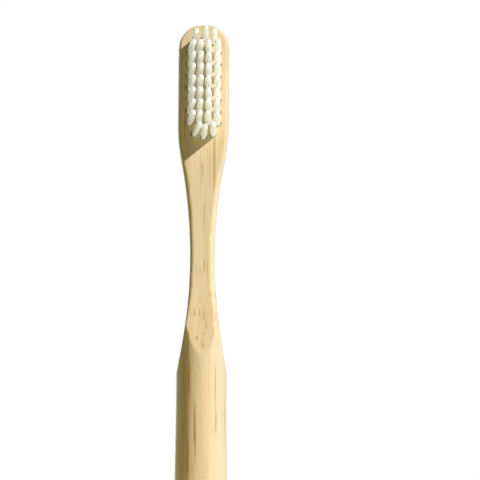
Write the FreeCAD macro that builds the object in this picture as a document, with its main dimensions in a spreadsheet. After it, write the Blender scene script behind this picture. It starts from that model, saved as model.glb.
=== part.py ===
import FreeCAD, Part
import math
import os
import Sketcher

# A manual toothbrush of bamboo. The handle is one round rod: above the grip it is milled flat at the front
# and the back and hollowed at both sides, which leaves the neck and the head. The head has blind holes, and
# in each of them stands a tuft of filaments, folded round a small flat anchor that bites into the wood.
#
# Frame, in millimetres: the rod's axis is Z, the butt stands at z = 0 and the head is on top.
# The tufts point to -Y, which is the front.

# The tuft field, from the top of the head down: a short row, the full rows, a short row.
FULL_ROWS = 7
FULL_ROW_TUFTS = 4
END_ROW_TUFTS = 3

# The driving sizes: name, value in millimetres or degrees, and what it measures.
SIZES = [
    ("overall_length", 190.0, "butt to the top of the head"),
    ("handle_diameter", 12.4, "rod, and so the width of the head"),
    ("butt_round", 1.5, "rounding of the butt's rim"),
    ("blade_thickness", 5.4, "neck and head, between the two flats"),
    ("flat_sweep", 166.0, "radius of the hollow sweep from the rod to a flat"),
    ("sweep_rise", 9.4, "waist up to where the sweep meets the flat"),
    ("head_length", 28.5, "top of the head down to where the neck starts to draw in"),
    ("waist_width", 5.85, "narrowest place of the neck"),
    ("waist_radius", 129.0, "radius of the hollow at each side of the neck"),
    ("shoulder_round", 18.0, "radius that softens the head where the neck starts"),
    ("top_flat", 1.0, "straight stretch at the top of the head, between its round corners"),
    ("edge_round", 1.1, "rounding of the long edges of neck and head"),
    ("field_centre", 15.8, "top of the head down to the middle row of tufts"),
    ("row_pitch", 2.92, "from one full row to the next"),
    ("end_row_step", 2.72, "from the last full row to a short row"),
    ("end_row_bow", 0.72, "how far the middle tuft of a short row stands farther out"),
    ("column_pitch", 2.28, "between the tufts of a row, at the face of the head"),
    ("tip_pitch", 1.9, "between the tufts of a row, at their tips, which lean together"),
    ("hole_diameter", 1.7, "blind hole for a tuft"),
    ("hole_depth", 3.8, "blind hole for a tuft"),
    ("tuft_clearance", 0.05, "round a tuft, to the wall of its hole"),
    ("tuft_height", 10.5, "face of the head to the tips"),
    ("tip_diameter", 1.75, "tuft just below its tips, where it spreads a little"),
    ("tip_round", 0.5, "how far the outer filaments of a tuft stop short of the middle ones"),
    ("anchor_bite", 0.2, "how far an anchor goes into the wood at each end"),
    ("anchor_depth", 1.4, "anchor, along the hole"),
    ("anchor_thickness", 0.25, "anchor"),
    ("anchor_angle", 45.0, "turn of the anchors out of the row, across the grain"),
    ("fold_depth", 0.7, "folded filaments between an anchor and the bottom of its hole"),
    ("cut_margin", 0.1, "how far the head's outline lies outside the rod"),
    ("rod_spare", 2.0, "end of the rod that is trimmed off at the top"),
]

doc = FreeCAD.newDocument("toothbrush")
sheet = doc.addObject("Spreadsheet::Sheet", "sizes")
for line, (alias, number, meaning) in enumerate(SIZES, start=1):
    sheet.set(f"A{line}", meaning)
    sheet.set(f"B{line}", str(number))
    sheet.setAlias(f"B{line}", alias)
doc.recompute()

# Places that more than one piece is measured from, as expressions.
ROD = "sizes.handle_diameter / 2"
FACE = "sizes.blade_thickness / 2"
HOLLOW_DEPTH = f"({ROD} - sizes.waist_width / 2)"
HALF_NECK = f"sqrt({HOLLOW_DEPTH} * (2 * sizes.waist_radius - {HOLLOW_DEPTH}))"
WAIST = f"sizes.overall_length - sizes.head_length - {HALF_NECK}"
FLAT_FOOT = f"{WAIST} + sizes.sweep_rise"
FORM_FOOT = f"{WAIST} - sqrt(sizes.waist_radius * sizes.handle_diameter)"
FORM_HALF_DEPTH = "2 * sizes.handle_diameter"
HOLE_BOTTOM = f"sizes.hole_depth - {FACE}"
FIELD_HEIGHT = "sizes.overall_length - sizes.field_centre"

UP = FreeCAD.Vector(0, 0, 1)

# In the constraints of a sketch, 1 is the start of a line or arc, 2 its end and 3 a centre.
# Geometry -1 starts at the sketch's origin, and -2 is its vertical axis.


def value(expression):
    """The number that an expression over the sheet comes to."""
    return float(sheet.evalExpression(expression))


def at(x, y):
    """A point of a sketch."""
    return FreeCAD.Vector(x, y, 0)


def arc(centre, radius, start, end):
    """A counter-clockwise arc of a sketch, from one angle to another in degrees."""
    return Part.ArcOfCircle(Part.Circle(centre, UP, radius), math.radians(start), math.radians(end))


def bind(thing, expressions):
    """Ties properties of an object to expressions over the sheet."""
    for name, expression in expressions.items():
        thing.setExpression(name, expression)


def origin_plane(body, role):
    """One of a body's own origin planes."""
    return next(plane for plane in body.Origin.OriginFeatures if plane.Role == role)


def new_sketch(body, name, role):
    """An empty sketch on one of a body's origin planes."""
    sketch = body.newObject("Sketcher::SketchObject", name)
    sketch.AttachmentSupport = [(origin_plane(body, role), "")]
    sketch.MapMode = "FlatFace"
    return sketch


def join(sketch, kind, pairs):
    """Joins ends of sketch lines and arcs, either just coincident or tangent as well."""
    for first, first_end, second, second_end in pairs:
        sketch.addConstraint(Sketcher.Constraint(kind, first, first_end, second, second_end))


def measure(sketch, name, expression, kind, *points):
    """A named dimension of a sketch, tied to an expression."""
    index = sketch.addConstraint(Sketcher.Constraint(kind, *points, value(expression)))
    sketch.renameConstraint(index, name)
    sketch.setExpression(f"Constraints.{name}", expression)


def mirrored(body, name, feature, role):
    """A feature with its mirror image in one of the body's origin planes."""
    mirror = body.newObject("PartDesign::Mirrored", name)
    mirror.Originals = [feature]
    mirror.MirrorPlane = (origin_plane(body, role), [""])
    body.Tip = mirror
    doc.recompute()
    return mirror


def place(thing, x, y, z):
    """Puts an object at expressions for its three coordinates."""
    bind(thing, {".Placement.Base.x": x, ".Placement.Base.y": y, ".Placement.Base.z": z})


# The rod
def make_rod():
    """The turned rod, a little too long, with a rounded butt. Its seam lies clear of all the cuts."""
    body = doc.addObject("PartDesign::Body", "rod")
    body.Placement.Rotation = FreeCAD.Rotation(UP, 45)
    sketch = new_sketch(body, "rod_section", "XY_Plane")
    circle = sketch.addGeometry(Part.Circle(at(0, 0), UP, value(ROD)))
    sketch.addConstraint(Sketcher.Constraint("Coincident", circle, 3, -1, 1))
    measure(sketch, "rod_radius", ROD, "Radius", circle)
    pad = body.newObject("PartDesign::Pad", "rod_length")
    pad.Profile = sketch
    bind(pad, {"Length": "sizes.overall_length + sizes.rod_spare"})
    doc.recompute()
    butt = value("sizes.butt_round")
    rim = [f"Edge{n}" for n, edge in enumerate(pad.Shape.Edges, start=1) if edge.BoundBox.ZMax < butt]
    fillet = body.newObject("PartDesign::Fillet", "butt_rim")
    fillet.Base = (pad, rim)
    bind(fillet, {"Radius": "sizes.butt_round"})
    return body


# The milled form of neck and head
def draw_half_outline(body):
    """Front view, right half: the hollow of the neck, the soft shoulder, the side and the round top."""
    sketch = new_sketch(body, "half_outline_sketch", "XZ_Plane")
    foot_height = value(FORM_FOOT)
    top = value("sizes.overall_length")
    radius = value("sizes.waist_radius")
    soft = value("sizes.shoulder_round")
    middle = value(WAIST)
    side = value(f"{ROD} + sizes.cut_margin")
    centre = value("sizes.waist_width / 2 + sizes.waist_radius")
    corner = side - value("sizes.top_flat / 2")
    low = math.asin((middle - foot_height) / radius)
    lean = math.acos((centre - side + soft) / (radius + soft))
    shoulder_height = middle + (radius + soft) * math.sin(lean)
    foot, hollow, shoulder, flank, round_top, crest, spine = sketch.addGeometry([
        Part.LineSegment(at(0, foot_height), at(centre - radius * math.cos(low), foot_height)),
        arc(at(centre, middle), radius, 180 - math.degrees(lean), 180 + math.degrees(low)),
        arc(at(side - soft, shoulder_height), soft, -math.degrees(lean), 0),
        Part.LineSegment(at(side, shoulder_height), at(side, top - corner)),
        arc(at(side - corner, top - corner), corner, 0, 90),
        Part.LineSegment(at(side - corner, top), at(0, top)),
        Part.LineSegment(at(0, top), at(0, foot_height)),
    ])
    join(sketch, "Coincident", [
        (foot, 2, hollow, 2),
        (crest, 2, spine, 1),
        (spine, 2, foot, 1),
    ])
    join(sketch, "Tangent", [
        (hollow, 1, shoulder, 1),
        (shoulder, 2, flank, 1),
        (flank, 2, round_top, 1),
        (round_top, 2, crest, 1),
    ])
    for kind, geometry in [("Horizontal", foot), ("Horizontal", crest), ("Vertical", flank)]:
        sketch.addConstraint(Sketcher.Constraint(kind, geometry))
    for end in (1, 2):
        sketch.addConstraint(Sketcher.Constraint("PointOnObject", spine, end, -2))
    measure(sketch, "foot_height", FORM_FOOT, "DistanceY", -1, 1, foot, 1)
    measure(sketch, "top_height", "sizes.overall_length", "DistanceY", -1, 1, crest, 2)
    measure(sketch, "side", f"{ROD} + sizes.cut_margin", "DistanceX", -1, 1, flank, 2)
    measure(sketch, "half_top", "sizes.top_flat / 2", "DistanceX", -1, 1, crest, 1)
    measure(sketch, "shoulder", "sizes.shoulder_round", "Radius", shoulder)
    measure(sketch, "hollow", "sizes.waist_radius", "Radius", hollow)
    measure(sketch, "hollow_height", WAIST, "DistanceY", -1, 1, hollow, 3)
    measure(sketch, "hollow_across", "sizes.waist_width / 2 + sizes.waist_radius",
            "DistanceX", -1, 1, hollow, 3)
    return sketch


def draw_flat_cut(body):
    """Side view of what is milled off the front: a hollow sweep in from the rod, then up the flat."""
    sketch = new_sketch(body, "flat_cut_sketch", "YZ_Plane")
    face = value(FACE)
    sweep = value("sizes.flat_sweep")
    reach = value(f"{FORM_HALF_DEPTH} + sizes.rod_spare")
    top = value("sizes.overall_length + sizes.rod_spare")
    start = value(FLAT_FOOT)
    turn = math.acos(1 - (reach - face) / sweep)
    flat, hollow, outside, above = sketch.addGeometry([
        Part.LineSegment(at(-face, top), at(-face, start)),
        arc(at(-face - sweep, start), sweep, -math.degrees(turn), 0),
        Part.LineSegment(at(-reach, start - sweep * math.sin(turn)), at(-reach, top)),
        Part.LineSegment(at(-reach, top), at(-face, top)),
    ])
    join(sketch, "Tangent", [(flat, 2, hollow, 2)])
    join(sketch, "Coincident", [
        (hollow, 1, outside, 1),
        (outside, 2, above, 1),
        (above, 2, flat, 1),
    ])
    for kind, geometry in [("Vertical", flat), ("Vertical", outside), ("Horizontal", above)]:
        sketch.addConstraint(Sketcher.Constraint(kind, geometry))
    measure(sketch, "face", FACE, "DistanceX", flat, 1, -1, 1)
    measure(sketch, "reach", f"{FORM_HALF_DEPTH} + sizes.rod_spare", "DistanceX", outside, 2, -1, 1)
    measure(sketch, "above", "sizes.overall_length + sizes.rod_spare", "DistanceY", -1, 1, above, 2)
    measure(sketch, "sweep", "sizes.flat_sweep", "Radius", hollow)
    measure(sketch, "flat_foot", FLAT_FOOT, "DistanceY", -1, 1, flat, 2)
    return sketch


def long_edges(shape):
    """Names of the edges where a front or back face meets a side face, up one side and down the other."""
    names = []
    above_foot = value(f"{FORM_FOOT} + sizes.edge_round")
    for number, edge in enumerate(shape.Edges, start=1):
        middle = edge.valueAt((edge.FirstParameter + edge.LastParameter) / 2)
        normals = []
        for face in shape.ancestorsOfType(edge, Part.Face):
            u, v = face.Surface.parameter(middle)
            normals.append(face.normalAt(u, v))
        meets_front = any(abs(normal.x) < 0.001 and abs(normal.y) > 0.1 for normal in normals)
        meets_side = any(abs(normal.y) < 0.001 for normal in normals)
        if meets_front and meets_side and middle.z > above_foot:
            names.append(f"Edge{number}")
    return names


def make_milled_form():
    """The outline, flattened at the front and the back and rounded along its edges."""
    body = doc.addObject("PartDesign::Body", "milled_form")
    pad = body.newObject("PartDesign::Pad", "half_outline")
    pad.Profile = draw_half_outline(body)
    pad.Midplane = True
    bind(pad, {"Length": f"2 * {FORM_HALF_DEPTH}"})
    doc.recompute()
    mirrored(body, "outline", pad, "YZ_Plane")
    pocket = body.newObject("PartDesign::Pocket", "front_flat")
    pocket.Profile = draw_flat_cut(body)
    pocket.Type = "ThroughAll"
    pocket.Midplane = True
    doc.recompute()
    flats = mirrored(body, "flats", pocket, "XZ_Plane")
    fillet = body.newObject("PartDesign::Fillet", "rounded_edges")
    fillet.Base = (flats, long_edges(flats.Shape))
    bind(fillet, {"Radius": "sizes.edge_round"})
    doc.recompute()
    return body


# The tuft field
def field():
    """Every tuft: its row, its place in the row, its steps from the middle and its height's expression."""
    half = (FULL_ROWS - 1) / 2
    tufts = []
    for row in range(1, FULL_ROWS + 3):
        short = row in (1, FULL_ROWS + 2)
        count = END_ROW_TUFTS if short else FULL_ROW_TUFTS
        for number in range(1, count + 1):
            step = number - (count + 1) / 2
            if short:
                sign = "+" if row == 1 else "-"
                bow = 1 - (2 * step / (count - 1)) ** 2
                offset = f"({half} * sizes.row_pitch + sizes.end_row_step + {bow} * sizes.end_row_bow)"
                height = f"{FIELD_HEIGHT} {sign} {offset}"
            else:
                height = f"{FIELD_HEIGHT} + {half + 2 - row} * sizes.row_pitch"
            tufts.append((row, number, step, height))
    return tufts


def boolean(kind, name, base, tool):
    """A cut or a fusion of two objects."""
    result = doc.addObject(f"Part::{kind}", name)
    result.Base = base
    result.Tool = tool
    return result


def pin(name, radius, length, x, height):
    """A round pin that stands on the bottom of a tuft's hole and points to the front."""
    cylinder = doc.addObject("Part::Cylinder", name)
    cylinder.Placement.Rotation = FreeCAD.Rotation(FreeCAD.Vector(1, 0, 0), 90)
    bind(cylinder, {"Radius": radius, "Height": length})
    place(cylinder, x, HOLE_BOTTOM, height)
    return cylinder


def ring(name, radius, x, depth, height):
    """A circle round a tuft, at a distance in front of the middle of the head."""
    circle = doc.addObject("Part::Circle", name)
    circle.Placement.Rotation = FreeCAD.Rotation(FreeCAD.Vector(1, 0, 0), 90)
    bind(circle, {"Radius": radius})
    place(circle, x, f"-({depth})", height)
    return circle


def make_anchor(name, x, height):
    """A flat strip across the hole, turned out of the row, with its ends in the wood."""
    anchor = doc.addObject("Part::Box", name)
    length = "(sizes.hole_diameter + 2 * sizes.anchor_bite)"
    cosine = "cos(sizes.anchor_angle * 1 deg)"
    sine = "sin(sizes.anchor_angle * 1 deg)"
    anchor.Placement.Rotation = FreeCAD.Rotation(FreeCAD.Vector(0, 1, 0), value("sizes.anchor_angle"))
    bind(anchor, {
        "Length": length,
        "Width": "sizes.anchor_depth",
        "Height": "sizes.anchor_thickness",
        ".Placement.Rotation.Angle": "sizes.anchor_angle * 1 deg",
    })
    place(
        anchor,
        f"{x} - {length} / 2 * {cosine} - sizes.anchor_thickness / 2 * {sine}",
        f"{HOLE_BOTTOM} - sizes.fold_depth - sizes.anchor_depth",
        f"{height} + {length} / 2 * {sine} - sizes.anchor_thickness / 2 * {cosine}",
    )
    return anchor


def make_tuft(name, step, height, anchor):
    """A bundle of filaments: a root in the hole, a leaning shaft, and a gap for the anchor in its fold."""
    x = f"{step} * sizes.column_pitch"
    root_radius = "sizes.hole_diameter / 2 - sizes.tuft_clearance"
    shaft = "(sizes.tuft_height - sizes.tip_round)"
    lean = f"{step} * (sizes.tip_pitch - sizes.column_pitch)"
    root = pin(f"{name}_root", root_radius, "sizes.hole_depth", x, height)
    loft = doc.addObject("Part::Loft", f"{name}_shaft")
    loft.Sections = [
        ring(f"{name}_mouth", root_radius, x, FACE, height),
        ring(f"{name}_spread", "sizes.tip_diameter / 2",
             f"{x} + {lean} * {shaft} / sizes.tuft_height", f"{FACE} + {shaft}", height),
        ring(f"{name}_tips", "sizes.tip_diameter / 2 - sizes.tip_round",
             f"{x} + {lean}", f"{FACE} + sizes.tuft_height", height),
    ]
    loft.Solid = True
    loft.Ruled = True
    bundle = boolean("Fuse", f"{name}_bundle", root, loft)
    tuft = boolean("Cut", name, bundle, anchor)
    tuft.Label = name
    return tuft


def make_field():
    """All the tufts, their anchors and the seats that they take up in the head."""
    tufts = []
    anchors = []
    seats = []
    for row, number, step, height in field():
        name = f"tuft_row{row}_{number}"
        x = f"{step} * sizes.column_pitch"
        anchor = make_anchor(f"{name}_anchor", x, height)
        drill = pin(f"{name}_drill", "sizes.hole_diameter / 2", f"sizes.hole_depth + {FACE}", x, height)
        anchors.append(anchor)
        seats.append(boolean("Fuse", f"{name}_seat", drill, anchor))
        tufts.append(make_tuft(name, step, height, anchor))
    return tufts, anchors, seats


def group(name, members):
    """Separate solids that count as one piece."""
    compound = doc.addObject("Part::Compound", name)
    compound.Links = members
    compound.Label = name
    return compound


# The handle: the rod without the milling waste, and with a seat for each tuft.
def make_handle(seats):
    stock = doc.addObject("Part::Box", "stock")
    bind(stock, {
        "Length": f"2 * {FORM_HALF_DEPTH}",
        "Width": f"2 * {FORM_HALF_DEPTH}",
        "Height": f"sizes.overall_length + 2 * sizes.rod_spare - ({FORM_FOOT})",
    })
    place(stock, f"-({FORM_HALF_DEPTH})", f"-({FORM_HALF_DEPTH})", FORM_FOOT)
    waste = boolean("Cut", "milling_waste", stock, make_milled_form())
    milled_rod = boolean("Cut", "milled_rod", make_rod(), waste)
    handle = boolean("Cut", "handle", milled_rod, group("tuft_seats", seats))
    handle.Label = "handle"
    return handle


tufts, anchors, seats = make_field()
pieces = [make_handle(seats)] + tufts + [group("tuft_anchors", anchors)]
doc.recompute()

# Every object must have come out sound before anything is written.
for thing in doc.Objects:
    if "Invalid" in thing.State or "Error" in thing.State:
        raise RuntimeError(f"{thing.Label} did not compute")
for piece in pieces:
    if piece.Shape.isNull() or not piece.Shape.isValid():
        raise RuntimeError(f"{piece.Label} has no sound shape")

os.makedirs("parts", exist_ok=True)
for piece in pieces:
    piece.Shape.exportStep(f"parts/{piece.Label}.step")
    print(f"{piece.Label}: {len(piece.Shape.Solids)} solids, {piece.Shape.Volume:.2f} mm3")
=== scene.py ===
# %% [markdown]
# # Dressing a bamboo toothbrush
# The solid model already holds the true sizes of a bamboo toothbrush: a turned
# rod, milled flat at the top into a neck and a head, with thirty-four bristle
# tufts in blind holes. This lesson loads that model as a fixed frame. It then
# replaces the handle and the tufts with pieces that show what the hand and the
# eye notice: soft milled edges, bamboo fibre, and the ridges of the filaments.
# All work below is in millimetres and becomes metres only when a mesh is made.

import math

import bpy
import numpy as np
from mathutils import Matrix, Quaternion, Vector


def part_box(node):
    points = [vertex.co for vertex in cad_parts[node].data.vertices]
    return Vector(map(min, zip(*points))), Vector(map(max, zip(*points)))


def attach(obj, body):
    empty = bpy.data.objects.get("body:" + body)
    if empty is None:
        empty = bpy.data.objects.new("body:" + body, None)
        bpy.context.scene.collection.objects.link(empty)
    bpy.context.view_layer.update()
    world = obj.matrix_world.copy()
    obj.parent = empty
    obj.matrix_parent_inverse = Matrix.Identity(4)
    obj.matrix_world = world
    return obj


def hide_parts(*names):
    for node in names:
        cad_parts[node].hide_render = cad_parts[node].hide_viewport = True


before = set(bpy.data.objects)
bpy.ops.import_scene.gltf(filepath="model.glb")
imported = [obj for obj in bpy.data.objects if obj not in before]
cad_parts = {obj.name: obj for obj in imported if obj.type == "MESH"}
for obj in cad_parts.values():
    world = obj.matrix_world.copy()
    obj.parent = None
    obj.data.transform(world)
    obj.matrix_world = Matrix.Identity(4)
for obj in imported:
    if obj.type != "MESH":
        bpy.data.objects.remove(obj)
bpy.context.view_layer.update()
MM = 0.001
print("nodes in the frame:", len(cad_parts))

# %% [markdown]
# ## Putting arrays into meshes
# Every surface in this lesson is a stack of rings of points that numpy works out
# at once. Four-sided faces join each ring to the next, and a fan of triangles to
# one point, the pole, closes each end. One helper takes the finished points and
# faces, in millimetres, and makes the mesh object. It leaves the object at the
# origin, so that a pattern painted in object coordinates is measured in the same
# frame as the solid model.

# %% Mesh helpers
def mesh_object(name, points, faces, material, smooth=True):
    """Makes an object from points (n x 3, in mm) and a list of face index lists."""
    mesh = bpy.data.meshes.new(name)
    mesh.from_pydata((np.asarray(points) * MM).tolist(), [], faces)
    mesh.polygons.foreach_set("use_smooth", np.full(len(mesh.polygons), smooth))
    mesh.materials.append(material)
    mesh.update()
    made = bpy.data.objects.new(name, mesh)
    bpy.context.scene.collection.objects.link(made)
    return made


def ring_faces(rings, sides, start=0):
    """Quads between neighbouring rings of a closed grid.

    Points j and j+1 of ring i join points j+1 and j of ring i+1, and the last point joins the first.
    """
    i, j = np.meshgrid(np.arange(rings - 1), np.arange(sides), indexing="ij")
    k = (j + 1) % sides
    quads = np.stack([i * sides + j, i * sides + k, (i + 1) * sides + k, (i + 1) * sides + j], axis=-1)
    return quads.reshape(-1, 4) + start


def fan_faces(start, sides, pole):
    """Triangles from each side of the ring that begins at the start point to the pole point."""
    j = np.arange(sides)
    return np.stack([start + j, start + (j + 1) % sides, 0 * j + pole], axis=-1)


def closed_faces(rings, sides):
    """Faces of stacked rings and of the two fans that close them; both poles come after the rings."""
    low = rings * sides
    lower_fan = fan_faces(0, sides, low)[:, [1, 0, 2]]
    upper_fan = fan_faces(low - sides, sides, low + 1)
    return ring_faces(rings, sides).tolist() + lower_fan.tolist() + upper_fan.tolist()


print("faces of a closed tube with 3 rings of 8 points:", len(closed_faces(3, 8)))

# %% [markdown]
# ## Wiring materials
# A material is a small network. Writing it by hand is mostly adding a node and
# joining its sockets, so one helper does both: a socket gets either a value or
# the output of another node. A few more name the steps that come back in every
# finish: a soft step, a product, a blend of two colours, noise and relief.

# %% Material helpers
def fill_socket(tree, socket, value):
    """Joins the socket to the value if that is another node's output, and else stores it."""
    if isinstance(value, bpy.types.NodeSocket):
        tree.links.new(value, socket)
    else:
        socket.default_value = value


def add_node(tree, kind, sockets=None, **settings):
    """Adds a shader node, sets its options, and fills its input sockets with values or links."""
    node = tree.nodes.new(kind)
    for name, value in settings.items():
        setattr(node, name, value)
    for name, value in (sockets or {}).items():
        fill_socket(tree, node.inputs[name], value)
    return node


def new_material(name):
    """A material with an empty network and its output node."""
    material = bpy.data.materials.new(name)
    material.use_nodes = True
    material.node_tree.nodes.clear()
    return material, material.node_tree, material.node_tree.nodes.new("ShaderNodeOutputMaterial")


def shade_with(tree, out, sockets):
    """Adds the surface shader with the given sockets and joins it to the material's output."""
    skin = add_node(tree, "ShaderNodeBsdfPrincipled", sockets)
    tree.links.new(skin.outputs[0], out.inputs["Surface"])


def mask(tree, value, low, high):
    """A soft step: 0 where the value is at low, 1 where it is at high, eased between."""
    return add_node(tree, "ShaderNodeMapRange", {"Value": value, "From Min": low, "From Max": high},
                    interpolation_type="SMOOTHSTEP").outputs["Result"]


def times(tree, a, b):
    """The product of two values, one or both from a texture."""
    return add_node(tree, "ShaderNodeMath", {0: a, 1: b}, operation="MULTIPLY").outputs[0]


def blend_colour(tree, share, first, second):
    """The first colour where the share is 0, the second where it is 1."""
    node = add_node(tree, "ShaderNodeMix", data_type="RGBA")
    # A mix node carries sockets for every kind of data; 6, 7 and output 2 are the colours.
    for number, value in ((0, share), (6, first), (7, second)):
        fill_socket(tree, node.inputs[number], value)
    return node.outputs[2]


def noise(tree, place, scale, detail):
    """Cloudy noise between 0 and 1, with the given number of clouds per unit of the coordinates."""
    clouds = {"Vector": place, "Scale": scale, "Detail": detail}
    return add_node(tree, "ShaderNodeTexNoise", clouds).outputs["Fac"]


def relief(tree, height, strength, depth):
    """Normals tilted by a height pattern, whose full height is the depth in metres."""
    tilt = {"Strength": strength, "Distance": depth, "Height": height}
    return add_node(tree, "ShaderNodeBump", tilt).outputs[0]


print("material helpers ready")

# %% [markdown]
# ## Fine unevenness
# No real surface is equally smooth all over. Drilled wood is charred in patches,
# nylon is scuffed and brass wire is dull in places. Painting this three times
# would repeat the same noise, so it is one node group: it takes how fine the
# patches are and the limits of the roughness, and gives back the patches as a
# mask and the roughness that belongs to them.

# %% Unevenness group
def unevenness_group():
    """Node group: noise as a wear mask, and the same noise between the smoothest and roughest value."""
    group = bpy.data.node_groups.new("fine_unevenness", "ShaderNodeTree")
    group.interface.new_socket("Place", in_out="INPUT", socket_type="NodeSocketVector")
    for name in ("Fineness", "Detail", "Smoothest", "Roughest"):
        group.interface.new_socket(name, in_out="INPUT", socket_type="NodeSocketFloat")
    for name in ("Wear", "Roughness"):
        group.interface.new_socket(name, in_out="OUTPUT", socket_type="NodeSocketFloat")
    given = group.nodes.new("NodeGroupInput").outputs
    result = group.nodes.new("NodeGroupOutput").inputs
    wear = noise(group, given["Place"], given["Fineness"], given["Detail"])
    limits = {"Value": wear, "To Min": given["Smoothest"], "To Max": given["Roughest"]}
    rough = add_node(group, "ShaderNodeMapRange", limits).outputs[0]
    group.links.new(wear, result["Wear"])
    group.links.new(rough, result["Roughness"])
    return group


unevenness = unevenness_group()


def uneven(tree, place, fineness, detail, smoothest, roughest):
    """Places the group in a material, with patches per metre as its fineness: its wear and its roughness."""
    patches = {"Place": place, "Fineness": fineness, "Detail": detail}
    limits = {"Smoothest": smoothest, "Roughest": roughest}
    made = add_node(tree, "ShaderNodeGroup", {**patches, **limits}, node_tree=unevenness).outputs
    return made["Wear"], made["Roughness"]


print("unevenness sockets:", [item.name for item in unevenness.interface.items_tree])

# %% [markdown]
# ## Bamboo
# Bamboo has no year rings. Its flesh is pale straw, and through it run long
# fibre bundles, a little browner, that show as thin lines on a lengthwise cut,
# as short dashes where the cut is slanted, and as dots where it is square.
# A picture wrapped round the handle could never do all three, so the pattern
# is a solid one: cells drawn out along the rod, cut by whatever surface passes.
# Chance places the cells, in three sizes. A rod also has a few stout bundles
# that one knows it by, and chance can't be told where to put them, so these
# are a short list. The first line of that list is no bundle but painted shade:
# a broad dark band along the edge of the rod's shaded side, which makes that
# edge sharper. Object coordinates are scaled to measure in millimetres.

# %% Stout bundles and a band of painted shade
# One streak in each line: x and y, lowest and highest point, half its width, all in mm, and its strength.
streaks_and_shade_band = [
    # painted shade: a broad dark band along the edge of the rod's shaded side
    (-3.45, -5.15, 70.0, 110.0, 0.80, 0.50),
    (-3.40, -5.20, 107.5, 114.0, 0.26, 0.90),
    (-3.05, -5.40, 98.5, 106.5, 0.36, 0.90),
    (-1.65, -6.00, 86.0, 96.0, 0.34, 0.80),
    (-3.20, -5.30, 78.0, 88.0, 0.36, 0.90),
    (3.35, -5.20, 89.0, 95.0, 0.26, 0.70),
    (-0.20, -2.70, 150.5, 156.0, 0.24, 0.50),
    (1.67, -2.70, 149.5, 158.8, 0.18, 0.45),
    (1.19, -3.15, 127.5, 132.5, 0.20, 0.60),
    (0.29, -2.75, 138.7, 146.0, 0.22, 0.45),
]
print("stout bundles:", len(streaks_and_shade_band))

# %% Bundle patterns
def stretched(tree, place, across, along):
    """Coordinates in cells: the given number of cells per mm across the rod and along it."""
    return add_node(tree, "ShaderNodeMapping", {"Vector": place, "Scale": (across, across, along)}).outputs[0]


def fibre_bundles(tree, place, across, along, core, edge, rarest):
    """Long cells, full inside the core distance and gone at the edge distance.

    Each cell draws a chance from 0 to 1. Below rarest it doesn't show, and at 1 it is strongest.
    """
    drawn_out = stretched(tree, place, across, along)
    cells = add_node(tree, "ShaderNodeTexVoronoi", {"Vector": drawn_out, "Scale": 1.0})
    inside = mask(tree, cells.outputs["Distance"], edge, core)
    pick = add_node(tree, "ShaderNodeSeparateColor", {"Color": cells.outputs["Color"]}).outputs["Red"]
    return times(tree, inside, mask(tree, pick, rarest, 1.0))


def dark_streak(tree, place, x, y, low, high, half, strength):
    """One dark streak along the line (x, y), five times as deep as wide, fading at its sides and ends; it
    draws the stout bundles and the band of painted shade alike.
    """
    before_end, past_end = 3.0, 1.5
    off = add_node(tree, "ShaderNodeVectorMath", {0: place, 1: (x, y, 0)}, operation="SUBTRACT").outputs[0]
    flattened = (1.0, 0.2, 0.0)
    off = add_node(tree, "ShaderNodeVectorMath", {0: off, 1: flattened}, operation="MULTIPLY").outputs[0]
    away = add_node(tree, "ShaderNodeVectorMath", {0: off}, operation="LENGTH").outputs["Value"]
    z = add_node(tree, "ShaderNodeSeparateXYZ", {0: place}).outputs["Z"]
    foot = mask(tree, z, low - past_end, low + before_end)
    head = mask(tree, z, high + past_end, high - before_end)
    return times(tree, times(tree, mask(tree, away, half, 0.3 * half), times(tree, foot, head)), strength)


print("bundle patterns ready")

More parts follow.
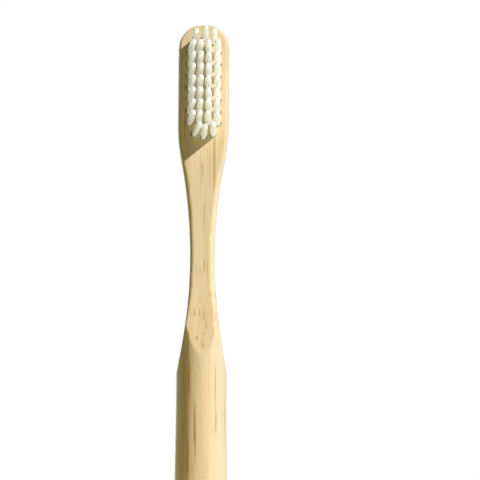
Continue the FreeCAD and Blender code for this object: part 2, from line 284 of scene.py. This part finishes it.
# %% Bamboo material
def bamboo_finish():
    """Straw flesh with drawn-out fibre bundles, fine fibre, pores, a band of painted shade and a satin sanded
    surface.
    """
    straw, deep_straw, fibre_tan = (0.91, 0.708, 0.42, 1), (0.83, 0.608, 0.325, 1), (0.60, 0.39, 0.14, 1)
    honey_tan, line_brown, dash_brown = (0.55, 0.36, 0.08, 1), (0.50, 0.25, 0.05, 1), (0.42, 0.21, 0.05, 1)
    streak_and_shade_brown, pore_brown = (0.50, 0.26, 0.030, 1), (0.42, 0.25, 0.10, 1)
    material, tree, out = new_material("bamboo_sanded")
    place = add_node(tree, "ShaderNodeTexCoord").outputs["Object"]
    place = add_node(tree, "ShaderNodeMapping", {"Vector": place, "Scale": (1000, 1000, 1000)}).outputs[0]

    # The fibre isn't quite straight: slow noise moves the pattern sideways by up to 1.6 mm.
    slow = {"Vector": stretched(tree, place, 0.10, 0.022), "Scale": 1.0, "Detail": 1.0}
    drift = add_node(tree, "ShaderNodeTexNoise", slow).outputs["Color"]
    drifted = {0: drift, 1: (1.6, 1.6, 0.0), 2: place}
    drifted = add_node(tree, "ShaderNodeVectorMath", drifted, operation="MULTIPLY_ADD").outputs[0]

    lines = fibre_bundles(tree, drifted, 1.7, 0.040, 0.10, 0.34, 0.28)
    dashes = fibre_bundles(tree, drifted, 2.4, 0.20, 0.08, 0.28, 0.35)
    honey = fibre_bundles(tree, drifted, 0.8, 0.026, 0.06, 0.36, 0.20)
    fine = {"Vector": stretched(tree, drifted, 5.5, 0.07), "Scale": 1.0, "Detail": 3.0, "Roughness": 0.6}
    fibre = add_node(tree, "ShaderNodeTexNoise", fine).outputs["Fac"]
    band = noise(tree, stretched(tree, drifted, 0.33, 0.008), 1.0, 2.0)
    dots = {"Vector": stretched(tree, drifted, 3.4, 0.9), "Scale": 1.0}
    pores = add_node(tree, "ShaderNodeTexVoronoi", dots).outputs["Distance"]
    pores = mask(tree, pores, 0.16, 0.08)

    colour = blend_colour(tree, mask(tree, band, 0.30, 0.70), straw, deep_straw)
    colour = blend_colour(tree, times(tree, mask(tree, fibre, 0.45, 0.80), 0.55), colour, fibre_tan)
    colour = blend_colour(tree, times(tree, honey, 0.95), colour, honey_tan)
    colour = blend_colour(tree, times(tree, lines, 0.95), colour, line_brown)
    colour = blend_colour(tree, times(tree, dashes, 0.50), colour, dash_brown)
    # the stout bundles, and the first line's broad band of painted shade along the shaded side's edge
    for bundle in streaks_and_shade_band:
        colour = blend_colour(tree, dark_streak(tree, place, *bundle), colour, streak_and_shade_brown)
    colour = blend_colour(tree, times(tree, pores, 0.15), colour, pore_brown)

    sunk = times(tree, lines, -0.5)
    grain = add_node(tree, "ShaderNodeMath", {0: fibre, 1: sunk}, operation="ADD").outputs[0]
    satin = {"Value": fibre, "From Min": 0.3, "From Max": 0.7, "To Min": 0.40, "To Max": 0.54}
    rough = add_node(tree, "ShaderNodeMapRange", satin).outputs[0]
    shade_with(tree, out, {
        "Base Color": colour, "Roughness": rough, "Normal": relief(tree, grain, 0.25, 0.00006),
        "Specular IOR Level": 0.25, "Sheen Weight": 0.9, "Sheen Roughness": 0.4})
    return material


bamboo = bamboo_finish()
print("bamboo nodes:", len(bamboo.node_tree.nodes))

# %% [markdown]
# ## The handle's outline
# Seen from the front the brush is a rod whose sides are hollowed to a waist and
# then open again to the full width of the head. Seen from the side it is the
# same rod planed flat: the flats sweep in from the rod and stay level up to
# the top. So two half sizes, one across and one front to back, both given as
# functions of the height z, describe all of the milling. A third gives the
# little that sanding took from the rod's sides where they run into the neck.

# %% Outline values
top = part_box("handle")[1][2] / MM
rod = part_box("handle")[1][0] / MM
face = 2.7
waist_height, waist_half, waist_radius = 132.62, 2.925, 129.0
flat_foot, sweep_radius = 142.02, 166.0
head_half, head_blend = 6.08, 1.0
corner_width, corner_height = 5.7, 6.2
edge_round, butt_round = 0.8, 1.5
sanding, sanding_starts, sanding_ends = 0.24, (70.0, 102.0), (112.0, 135.0)
print("rod radius %.2f mm, top at %.2f mm" % (rod, top))

# %% Outline functions
def soft_min(a, b, blend):
    """The smaller of two values; where they come within the blend distance the corner is rounded off."""
    h = np.clip(0.5 + 0.5 * (b - a) / blend, 0, 1)
    return b * (1 - h) + a * h - blend * h * (1 - h)


def arc_drop(offset, radius):
    """How far a circle of this radius falls away from its tangent at an offset along the tangent."""
    return radius - np.sqrt(np.maximum(radius**2 - np.minimum(np.abs(offset), radius) ** 2, 0))


def ramp(value, low, high):
    """Share from 0 at low to 1 at high, eased at both ends."""
    share = np.clip((value - low) / (high - low), 0, 1)
    return share**2 * (3 - 2 * share)


def bump_between(z, rise, fall):
    """Share that eases from 0 to 1 over the rise, a pair of heights, and back to 0 over the fall."""
    return ramp(z, *rise) * ramp(-z, -fall[1], -fall[0])


def half_across(z):
    """Half the width: the side hollow's arc, met softly by the head's side, then the elliptic top corner."""
    hollow = waist_half + arc_drop(z - waist_height, waist_radius)
    above = np.maximum(z - (top - corner_height), 0) / corner_height
    corner = head_half - corner_width * arc_drop(above, 1.0)
    head = np.minimum(soft_min(hollow, head_half, head_blend), corner)
    return np.where(z > waist_height, head, hollow)


def half_deep(z):
    """Half the thickness: level at the head and upper neck, an arc below it, rounded at the top edge."""
    flat = face + arc_drop(np.maximum(flat_foot - z, 0), sweep_radius)
    return flat - arc_drop(np.maximum(z - (top - edge_round), 0), edge_round)


def half_round(z):
    """The rod's radius, drawn in at the rounded rim of the butt."""
    return rod - arc_drop(np.maximum(butt_round - z, 0), butt_round)


def sanded_off(z):
    """What sanding took from the rod's two sides just below the neck, eased out at both ends."""
    return sanding * bump_between(z, sanding_starts, sanding_ends)


for z in (50.0, 110.0, waist_height, 175.0):
    print("z %.1f: across %.2f deep %.2f" % (z, 2 * min(half_across(z), rod), 2 * min(half_deep(z), rod)))

# %% [markdown]
# ## The handle's surface
# At each height the cut is a rounded rectangle, kept inside the rod. Both are
# distances from the axis in a given direction, so the smaller one is the wood
# that is left. Taking a soft minimum instead of a plain one blurs the line
# where the flats run out on the rod. The long edges are sanded by hand, more
# at the neck than at the head and more on the right than on the left, so the
# radius of the corners is a function of the height and the side.

# %% Section of the handle
left_scarf, left_neck, left_head = 0.45, 1.00, 0.60
right_neck, right_head = 1.50, 0.80


def rectangle_reach(c, s, wide, deep, corner):
    """Distance from the centre to a rounded rectangle along the direction (c, s).

    The ray meets the side at wide / c or the face at deep / s, and past their ends the corner's circle.
    """
    c, s = np.maximum(np.abs(c), 1e-9), np.maximum(np.abs(s), 1e-9)
    a, b = wide - corner, deep - corner
    to_side, to_face = wide / c, deep / s
    along = a * c + b * s
    to_corner = along + np.sqrt(np.maximum(along**2 - (a**2 + b**2 - corner**2), 0))
    return np.where(to_side * s <= b, to_side, np.where(to_face * c <= a, to_face, to_corner))


def corner_rounding(c, z):
    """Radius of the long edges: full at the neck, slim at the head and where the left one meets the rod.

    Two slow waves along the height stand for the unsteady hand.
    """
    at_head = ramp(z, 150.0, 162.0)
    left = left_scarf + (left_neck - left_scarf) * ramp(z, 113.0, 126.0) - (left_neck - left_head) * at_head
    right = right_neck - (right_neck - right_head) * at_head
    unsteady = 1 + 0.04 * np.sin(z * 0.55 + np.sign(c) * 1.3) + 0.02 * np.sin(z * 1.7)
    return np.where(c > 0, right, left) * unsteady


print("corner radius at the neck: left %.2f right %.2f" % tuple(corner_rounding(np.array([-1, 1]), 135.0)))

# %% Handle surface
def handle_surface(u, z):
    """Points of the handle: a turn u round the axis and a height z.

    The turn is squeezed by the section's own proportions, so that samples gather at the corners. The reach is
    the soft minimum of rod and rectangle, softest where the flats run out and there more on the right.
    """
    wide, deep, radius = half_across(z), half_deep(z), half_round(z)
    x, y = np.minimum(wide, radius) * np.cos(u), np.minimum(deep, radius) * np.sin(u)
    length = np.hypot(x, y)
    c, s = x / length, y / length
    blend = 0.12 + (0.05 + 0.12 * c) * bump_between(z, (92.0, 104.0), (114.0, 128.0))
    corner = np.minimum(corner_rounding(c, z), 0.98 * np.minimum(wide, deep))
    reach = soft_min(rectangle_reach(c, s, wide, deep, corner), radius - sanded_off(z) * c**2, blend)
    return np.stack([reach * c, reach * s, z + 0 * u], axis=-1)


def eased(start, end, count):
    """Heights from start to end that crowd together towards the end, as a quarter of a sine wave does."""
    return start + (end - start) * np.sin(np.linspace(0, np.pi / 2, count))


sides = 208
heights = np.concatenate([
    butt_round - eased(0, butt_round, 8)[::-1],
    np.linspace(3.0, 101.0, 40),
    np.linspace(102.0, 119.0, 66),
    np.linspace(119.6, 160.0, 76),
    np.linspace(160.5, 184.0, 54),
    eased(184.4, top, 34),
])
turn, height = np.meshgrid(np.linspace(0, 2 * np.pi, sides, endpoint=False), heights)
wall = handle_surface(turn, height)
points = np.concatenate([wall.reshape(-1, 3), [[0, 0, 0]], [[0, 0, top]]])
blank = mesh_object("handle_blank", points, closed_faces(len(heights), sides), bamboo)
print("handle blank faces:", len(blank.data.polygons))

# %% [markdown]
# ## The tuft holes
# The head is drilled with nine rows of blind holes. The full rows have four,
# and the end rows have three with the middle one set a little further out.
# A boolean difference with thirty-four short cylinders does what the drill did,
# and the walls keep the cylinders' material: wood browned by the fast drill and
# painted nearly black as well, as the shade deep inside the holes.
# The cylinders are one mesh, because one cut is quicker than thirty-four.

# %% Scorched hole wall, painted dark as shade
def scorched_shaded_finish():
    """Bamboo browned by a fast drill and painted near black as the shade deep in the holes: dark, dry and
    uneven.
    """
    # painted shade: both colours are near black for the shade inside the holes, over the drill's browning
    char_and_shade, browned_and_shade = (0.05, 0.028, 0.010, 1), (0.13, 0.07, 0.028, 1)
    material, tree, out = new_material("bamboo_scorched_shaded")
    place = add_node(tree, "ShaderNodeTexCoord").outputs["Object"]
    burn, rough = uneven(tree, place, 2500.0, 3.0, 0.70, 0.90)
    shade_with(tree, out, {
        "Base Color": blend_colour(tree, burn, char_and_shade, browned_and_shade), "Roughness": rough,
        "Normal": relief(tree, burn, 0.3, 0.00004), "Specular IOR Level": 0.0})
    return material


scorched_shaded = scorched_shaded_finish()
print("hole wall:", scorched_shaded.name)

# %% Places of the holes
field_middle, row_pitch, hole_pitch = 174.2, 2.92, 2.28
end_row_step, end_row_bow = 2.72, 0.72
spots = {}
for row in range(1, 10):
    up = 5 - row
    if abs(up) < 4:
        line = [(step * hole_pitch, field_middle + up * row_pitch, step) for step in (-1.5, -0.5, 0.5, 1.5)]
    else:
        end = math.copysign(1.0, up)
        z = field_middle + end * (3 * row_pitch + end_row_step)
        line = [(-hole_pitch, z, -1.0), (0.0, z + end * end_row_bow, 0.0), (hole_pitch, z, 1.0)]
    for number, spot in enumerate(line, 1):
        spots["tuft_row%d_%d" % (row, number)] = spot
print("holes:", len(spots), "from z %.2f to %.2f" % (spots["tuft_row9_2"][1], spots["tuft_row1_2"][1]))

# %% Drill
hole_radius, hole_floor, drill_sides = 0.85, 1.1, 20
drill_ends = (hole_floor, -face - 1.0)
centres = np.array([(x, z) for x, z, step in spots.values()])
angle = np.linspace(0, 2 * np.pi, drill_sides, endpoint=False)
ring_x = centres[:, None, 0] + hole_radius * np.cos(angle)
ring_z = centres[:, None, 1] + hole_radius * np.sin(angle)
cylinders = np.stack([np.stack([ring_x, 0 * ring_x + y, ring_z], axis=-1) for y in drill_ends], axis=1)
drill_faces = []
for start in range(0, len(spots) * 2 * drill_sides, 2 * drill_sides):
    middle, stop = start + drill_sides, start + 2 * drill_sides
    drill_faces += ring_faces(2, drill_sides, start).tolist()
    drill_faces += [list(range(start, middle))[::-1], list(range(middle, stop))]
drill = mesh_object("drill", cylinders.reshape(-1, 3), drill_faces, scorched_shaded, smooth=False)
print("drill faces:", len(drill_faces), "depth of a hole: %.1f mm" % (face + hole_floor))

# %% Keep the drilled handle
cut = blank.modifiers.new("holes", "BOOLEAN")
cut.operation, cut.object, cut.solver, cut.material_mode = "DIFFERENCE", drill, "EXACT", "TRANSFER"
drilled = bpy.data.meshes.new_from_object(blank.evaluated_get(bpy.context.evaluated_depsgraph_get()))
drilled.name = "bamboo_handle"
drilled.set_sharp_from_angle(angle=math.radians(40))
handle = bpy.data.objects.new("bamboo_handle", drilled)
bpy.context.scene.collection.objects.link(handle)
bpy.data.objects.remove(blank)
bpy.data.objects.remove(drill)
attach(handle, "root")
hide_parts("handle")
print("drilled handle faces:", len(drilled.polygons))

# %% [markdown]
# ## Nylon bristle
# The filaments are undyed nylon: milky, translucent, and each one slightly
# different in tone. Light that meets the rounded end of a filament goes in and
# comes out along its side, so the ends are painted a little darker than the
# sides, as shade. A pattern in space can't know where a filament runs. Three
# attributes on the points do: a random tone for each filament, the way from root
# to tip, and a mask that is 1 in the grooves between filaments, where shade is
# painted in as a darker colour. The light that wanders inside the bundle is the
# shader's subsurface scattering.

# %% Bristle material
def bristle_finish():
    """Milky nylon: a tone per filament, painted shade on the ends and in the grooves, faint scuffs, and deep
    scattering.
    """
    dull, clear = (0.86, 0.87, 0.79, 1), (0.99, 0.99, 0.97, 1)
    end_shade, groove_shade = (0.72, 0.73, 0.66, 1), (0.57, 0.58, 0.47, 1)
    material, tree, out = new_material("nylon_bristle")
    tone, along, groove = [
        add_node(tree, "ShaderNodeAttribute", attribute_name=name).outputs["Fac"]
        for name in ("tone", "along", "groove")]
    colour = blend_colour(tree, tone, dull, clear)
    # painted shade: the filament ends darker than the sides
    colour = blend_colour(tree, mask(tree, along, 0.86, 1.0), colour, end_shade)
    # painted shade: darker in the grooves between filaments
    colour = blend_colour(tree, times(tree, groove, 0.55), colour, groove_shade)
    place = add_node(tree, "ShaderNodeTexCoord").outputs["Object"]
    scuff, rough = uneven(tree, place, 9000.0, 2.0, 0.34, 0.50)
    shade_with(tree, out, {
        "Base Color": colour, "Roughness": rough, "Normal": relief(tree, scuff, 0.12, 0.00002),
        "Specular IOR Level": 0.4, "Subsurface Weight": 0.9, "Subsurface Radius": (1.0, 1.0, 0.9),
        "Subsurface Scale": 0.004})
    return material


bristle = bristle_finish()
print("bristle nodes:", len(bristle.node_tree.nodes))

# %% [markdown]
# ## The tufts
# A tuft is a bundle of filaments folded over a small metal anchor and driven
# into its hole. It leaves the hole narrow, swells to a belly, draws in again
# near the tip, and is trimmed to a dome whose filament ends are each rounded.
# Thousands of loose threads would hide the light from one another, while in a
# real bundle of clear nylon the light wanders through. So each tuft is one
# closed skin, shrunk on to its threads: the outline at each height is the reach
# of the outermost thread in every direction, and the dome is the highest thread
# end at every point. There are 48 threads, fewer and thicker than in the real
# bundle, so that their ridges still show in a picture of the whole brush.

# %% Threads of one tuft
threads, thread_radius, rise = 48, 0.094, 10.5
root_half, belly_gain, tip_loss = 0.56, 0.19, 0.14
dome_fall, golden_turn = 0.90, 2.39996
thread_wander, trim_error = 0.035, 0.07
stations = np.array([0.0, 0.06, 0.115, 0.17, 0.24, 0.32, 0.42, 0.54, 0.66, 0.78, 0.88, 0.95, 1.0])


def thread_places(chance):
    """Thread centres from the tuft's axis at each station (stations x threads), and each thread's height.

    Threads keep the places of a sunflower spiral, whose radius grows as the root of the thread's number. The
    spiral widens from the hole to the belly and narrows again with the square of the way to the tip. Each
    thread wanders by a small random amount that grows with the square of the height. The trimmed height falls
    from the middle to the rim with the power 2.2 of the radius.
    """
    order = np.arange(threads)
    ring = np.sqrt((order + 0.5) / threads)
    spin = order * golden_turn + chance.uniform(0, 2 * np.pi)
    belly = 1 - (1 - np.minimum(stations / 0.55, 1)) ** 1.8
    spread = root_half + belly_gain * belly - tip_loss * np.maximum((stations - 0.60) / 0.40, 0) ** 2
    wander = chance.normal(0, thread_wander, (2, threads)) * stations[:, None, None] ** 2
    across = ring * np.cos(spin) * spread[:, None] + wander[:, 0]
    along = ring * np.sin(spin) * spread[:, None] + wander[:, 1]
    height = rise - dome_fall * ring**2.2 - np.abs(chance.normal(0, trim_error, threads))
    return across, along, height


across, along, height = thread_places(np.random.default_rng(1))
print("thread grid:", across.shape, "tallest thread: %.2f mm" % height.max())

# %% Skin round the threads
groove_floor, gap_slope = 0.83, 1.6


def bundle_outline(across, along, angle):
    """Reach of the bundle in each direction (stations x angles), the thread that gives it, and a groove mask.

    A ray from the axis leaves a thread's circle at d cos(t) + sqrt(r^2 - d^2 sin^2(t)), with d the thread's
    distance and t its angle from the ray. The outermost thread counts, and a groove is never deeper than the
    groove floor. The mask is 0 on the crowns and 1 in the deepest grooves.
    """
    d, bearing = np.hypot(across, along), np.arctan2(along, across)
    off = angle[None, :, None] - bearing[:, None, :]
    room = thread_radius**2 - (d[:, None, :] * np.sin(off)) ** 2
    reach = np.where(room > 0, d[:, None, :] * np.cos(off) + np.sqrt(np.maximum(room, 0)), 0.0)
    best = reach.max(axis=2)
    widest = best.max(axis=1, keepdims=True)
    best = np.maximum(best, groove_floor * widest)
    return best, reach.argmax(axis=2), (1 - best / widest) / (1 - groove_floor)


def dome_height(px, pz, across, along, height):
    """Height of the trimmed end at points (px, pz), the thread that gives it, and a groove mask.

    The highest thread's half round counts, and the surface falls away steeply in the gaps between threads.
    """
    gap = np.hypot(px[..., None] - across, pz[..., None] - along)
    half_ball = np.sqrt(np.maximum(thread_radius**2 - gap**2, 0)) - thread_radius
    end_of = height + half_ball - gap_slope * np.maximum(gap - thread_radius, 0)
    return end_of.max(axis=-1), end_of.argmax(axis=-1), np.clip(gap.min(axis=-1) / thread_radius - 0.5, 0, 1)


around = np.linspace(0, 2 * np.pi, 160, endpoint=False)
print("reach at the tip: %.2f mm" % bundle_outline(across, along, around)[0][-1].max())

# %% [markdown]
# ## How a tuft stands
# A tufting machine sets every tuft alike, and yet each one ends up with a lean
# of its own. On this brush the tips stand a little closer together than the
# holes, each column leans its own way, and two tufts stray. So the lean is the
# column's share, plus the stray's, plus a small random one. The fold also
# presses a tuft against the outer side of its hole, which shifts its root.

# %% Skin of one tuft
tip_pitch, root_depth = 1.9, 1.3
column_lean = {-1.5: 0.26, -1.0: 0.10, -0.5: 0.05, 0.0: 0.15, 0.5: -0.14, 1.0: 0.20, 1.5: -0.02}
strays = {"tuft_row1_1": -0.30, "tuft_row9_1": 0.70}
lean_error, seat_out, seat_down, seat_error = 0.06, 0.06, -0.04, 0.025
cap_rings = np.linspace(1.0, 0.0, 20)[1:-1]


def tuft_skin(spot, chance, stray=0.0):
    """Rings of the closed skin (rings x sides x 3), its poles, and the thread, way and groove of each point.

    The wall climbs by stations to the rim of the dome, the dome closes over it in shrinking rings, and the
    whole leans in proportion to its height.
    """
    x, z, step = spot
    across, along, height = thread_places(chance)
    reach, owner, groove = bundle_outline(across, along, around)
    rim, caps = len(stations) - 1, len(cap_rings)
    inward = np.concatenate([np.ones(len(stations)), cap_rings])
    reach = np.concatenate([reach, np.repeat(reach[-1:], caps, axis=0)]) * inward[:, None]
    px, pz = reach * np.cos(around), reach * np.sin(around)
    dome, dome_owner, dome_groove = dome_height(px[rim:], pz[rim:], across[-1], along[-1], height)
    share = np.concatenate([stations, np.ones(caps)])[:, None] + 0 * px
    climb = np.concatenate([np.repeat(dome[:1], len(stations), axis=0), dome[1:]])
    lean = step * (tip_pitch - hole_pitch) + column_lean[step] + stray
    lean = np.array([lean, 0.0]) + chance.normal(0, lean_error, 2)
    seat = np.array([seat_out * np.sign(step), seat_down]) + chance.normal(0, seat_error, 2)
    x, z = x + seat[0], z + seat[1]
    py = -face + root_depth - (climb + root_depth) * share
    rings = np.stack([x + px + lean[0] * share, py, z + pz + lean[1] * share], axis=-1)
    middle = dome_height(np.zeros(1), np.zeros(1), across[-1], along[-1], height)[0][0]
    poles = np.array([[x, root_depth - face, z], [x + lean[0], -face - middle, z + lean[1]]])
    owner, groove = np.concatenate([owner, dome_owner[1:]]), np.concatenate([groove, dome_groove[1:]])
    return rings, poles, owner, share, groove


rings = tuft_skin((0, 0, 0), np.random.default_rng(1))[0]
print("skin rings:", rings.shape, "reach across: %.2f mm" % np.abs(rings[..., 0]).max())

# %% Make the tufts
def write_attribute(piece, name, values):
    """Stores one number for each point of a piece."""
    layer = piece.data.attributes.new(name, "FLOAT", "POINT")
    layer.data.foreach_set("value", values.astype(np.float32))


tuft_faces = closed_faces(len(stations) + len(cap_rings), len(around))
first_seed = 400
tufts = []
for number, (name, spot) in enumerate(spots.items()):
    chance = np.random.default_rng(first_seed + number)
    rings, poles, owner, share, groove = tuft_skin(spot, chance, strays.get(name, 0.0))
    tuft = mesh_object("bristle_" + name, np.concatenate([rings.reshape(-1, 3), poles]), tuft_faces, bristle)
    tone = chance.uniform(0, 1, threads)[owner.ravel()]
    write_attribute(tuft, "tone", np.append(tone, [0.5, 0.5]))
    write_attribute(tuft, "along", np.append(share.ravel(), [0.0, 1.0]))
    write_attribute(tuft, "groove", np.append(groove.ravel(), [0.0, 0.0]))
    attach(tuft, "root")
    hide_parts(name)
    tufts.append(tuft)
print("tufts:", len(tufts), "faces in one tuft:", len(tuft_faces))

# %% [markdown]
# ## The anchors
# Each tuft is held by a small flat of drawn wire, deep in its hole. It can be
# seen only in a cut-away view, and its solid is already right, so it stays and
# gets a worn, slightly uneven brass.

# %% Anchor material
def anchor_finish():
    """Drawn brass: a golden metal with fine draw marks and dull patches."""
    golden, dull = (0.80, 0.62, 0.30, 1), (0.55, 0.40, 0.18, 1)
    material, tree, out = new_material("drawn_brass")
    place = add_node(tree, "ShaderNodeTexCoord").outputs["Object"]
    patch, rough = uneven(tree, place, 2500.0, 3.0, 0.25, 0.50)
    marks = add_node(tree, "ShaderNodeMapping", {"Vector": place, "Scale": (20000, 1500, 20000)}).outputs[0]
    marks = noise(tree, marks, 1.0, 2.0)
    colour = blend_colour(tree, mask(tree, patch, 0.35, 0.70), golden, dull)
    shade_with(tree, out, {
        "Base Color": colour, "Roughness": rough, "Metallic": 1.0,
        "Normal": relief(tree, marks, 0.2, 0.00001)})
    return material


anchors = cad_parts["tuft_anchors"]
brass = anchor_finish()
anchors.data.materials.clear()
anchors.data.materials.append(brass)
print("anchors wear:", anchors.data.materials[0].name)

# %% [markdown]
# ## The floor
# The brush stands on its butt on a pale disc, which catches its shadow. The disc
# fades out towards its rim, so that it meets the white surround with no line.
# The light that it throws back on the brush is warm, as from a wooden table, so
# its colour for the camera and for other rays differs. From below it is clear,
# so that the butt can be seen. Its points are rings whose radius grows from the
# middle.

# %% Floor disc
def floor_finish():
    """Mottled matt ground: pale to the camera, warm to other rays, clear at its rim and from below."""
    pale_low, pale_high = (0.90, 0.90, 0.89, 1), (0.94, 0.94, 0.93, 1)
    warm_low, warm_high = (0.76, 0.74, 0.36, 1), (0.80, 0.78, 0.40, 1)
    material, tree, out = new_material("pale_ground")
    place = add_node(tree, "ShaderNodeTexCoord").outputs["Object"]
    mottle = noise(tree, place, 30.0, 4.0)
    seen = add_node(tree, "ShaderNodeLightPath").outputs["Is Camera Ray"]
    pale = blend_colour(tree, mottle, pale_low, pale_high)
    warm = blend_colour(tree, mottle, warm_low, warm_high)
    away = add_node(tree, "ShaderNodeVectorMath", {0: place}, operation="LENGTH").outputs["Value"]
    under = add_node(tree, "ShaderNodeNewGeometry").outputs["Backfacing"]
    cover = {0: mask(tree, away, 0.29, 0.14), 1: under}
    cover = add_node(tree, "ShaderNodeMath", cover, operation="SUBTRACT", use_clamp=True).outputs[0]
    shade_with(tree, out, {
        "Base Color": blend_colour(tree, seen, warm, pale), "Roughness": 0.9, "Specular IOR Level": 0.1,
        "Alpha": cover})
    return material


disc_radius, disc_rings, disc_sides, disc_level = 300.0, 24, 96, -0.02
steps = np.linspace(0.0, disc_radius, disc_rings + 1)[1:]
spin, reach = np.meshgrid(np.linspace(0, 2 * np.pi, disc_sides, endpoint=False), steps)
disc = np.stack([reach * np.cos(spin), reach * np.sin(spin), 0 * spin + disc_level], axis=-1).reshape(-1, 3)
disc_faces = ring_faces(disc_rings, disc_sides)[:, ::-1].tolist()
disc_faces += fan_faces(0, disc_sides, len(disc)).tolist()
ground = mesh_object("ground", np.concatenate([disc, [[0, 0, disc_level]]]), disc_faces, floor_finish())
print("ground radius in mm:", disc_radius)

# %% [markdown]
# ## Light
# One lamp, the key, stands high on the right, in front of the brush, small
# enough to draw the shadow of the tufts across the head. Three soft ones help:
# - the sky, a cool lamp far to the right, takes the yellow out of the bright
#   side of the wood, and falls on the wood alone;
# - the through lamp, low in front, falls on the tufts alone and casts no
#   shadow: it stands for the light that wanders through clear nylon from one
#   tuft into the next, which would take very many bounces to follow;
# - the fill, from behind, keeps the back from going black.
#
# The world looks white to the camera and in reflections, but gives only a
# little light, warm like the floor's, so that the shaded side stays darker.

# %% Lamps
def sun(name, towards, strength, spread, colour):
    """A distant lamp that shines from the given direction; its spread in degrees softens the shadow edge."""
    lamp = bpy.data.lights.new(name, "SUN")
    lamp.energy, lamp.angle, lamp.color = strength, math.radians(spread), colour
    made = bpy.data.objects.new(name, lamp)
    made.rotation_mode = "QUATERNION"
    made.rotation_quaternion = Vector(towards).to_track_quat("Z", "Y")
    bpy.context.scene.collection.objects.link(made)
    return made


def light_only(lamp, pieces):
    """Lets a lamp shine on the given pieces and on nothing else."""
    lit = bpy.data.collections.new("lit_by_" + lamp.name)
    for piece in pieces:
        lit.objects.link(piece)
    lamp.light_linking.receiver_collection = lit


key = sun("key", (0.620, -0.595, 0.530), 3.70, 3.0, (0.985, 0.980, 1.02))
sky = sun("sky", (0.985, -0.020, 0.170), 1.2, 40.0, (0.06, 0.38, 1.0))
through = sun("through", (0.24, -0.60, -0.58), 2.60, 20.0, (0.98, 0.97, 0.93))
fill = sun("fill", (-0.10, 0.95, 0.30), 1.3, 40.0, (0.96, 0.97, 0.80))
through.data.use_shadow = False
light_only(sky, [handle])
light_only(through, tufts)
print("lamps:", {lamp.name: round(lamp.data.energy, 2) for lamp in (key, sky, through, fill)})

# %% World
shade_level, shade_tint, white = 0.08, (0.92, 0.96, 0.20, 1), (1, 1, 1, 1)
world = bpy.data.worlds.new("white_room")
bpy.context.scene.world = world
world.use_nodes = True
room = world.node_tree
room.nodes.clear()
ray = add_node(room, "ShaderNodeLightPath").outputs
seen = ray["Is Camera Ray"]
for other in ("Is Glossy Ray", "Is Transmission Ray"):
    seen = add_node(room, "ShaderNodeMath", {0: seen, 1: ray[other]}, operation="MAXIMUM").outputs[0]
level = add_node(room, "ShaderNodeMapRange", {"Value": seen, "To Min": shade_level, "To Max": 1.0}).outputs[0]
tint = blend_colour(room, seen, shade_tint, white)
surround = add_node(room, "ShaderNodeBackground", {"Color": tint, "Strength": level}).outputs[0]
add_node(room, "ShaderNodeOutputWorld", {"Surface": surround})
bpy.context.scene.view_settings.view_transform = "Standard"
print("world nodes:", len(room.nodes))

# %% [markdown]
# ## Camera
# The camera looks up at the head from a little below and a little to the left,
# through a long lens, so that the rod keeps nearly the same width all the way.
# The target is the point of the brush's plane at the middle of the picture.
# Angles are in degrees, and the distance, the width of the picture at the
# target and the target itself are in metres.

# %% Camera
side_angle, rise_angle, roll = 1.5, -13.5, 0.33
distance, frame_width, film_width = 1.1, 0.1145, 36.0
target = Vector((0.00895, 0.0, 0.1374))
a, e = math.radians(side_angle), math.radians(rise_angle)
back = Vector((-math.sin(a) * math.cos(e), -math.cos(a) * math.cos(e), math.sin(e)))
lens = bpy.data.cameras.new("portrait")
lens.sensor_width = film_width
lens.lens = film_width * distance / frame_width
lens.clip_start, lens.clip_end = 0.05, 20.0
camera = bpy.data.objects.new("portrait", lens)
camera.rotation_mode = "QUATERNION"
camera.location = target + back * distance
camera.rotation_quaternion = (-back).to_track_quat("-Z", "Y") @ Quaternion((0, 0, 1), math.radians(roll))
bpy.context.scene.collection.objects.link(camera)
bpy.context.scene.camera = camera
print("lens: %.0f mm" % lens.lens)
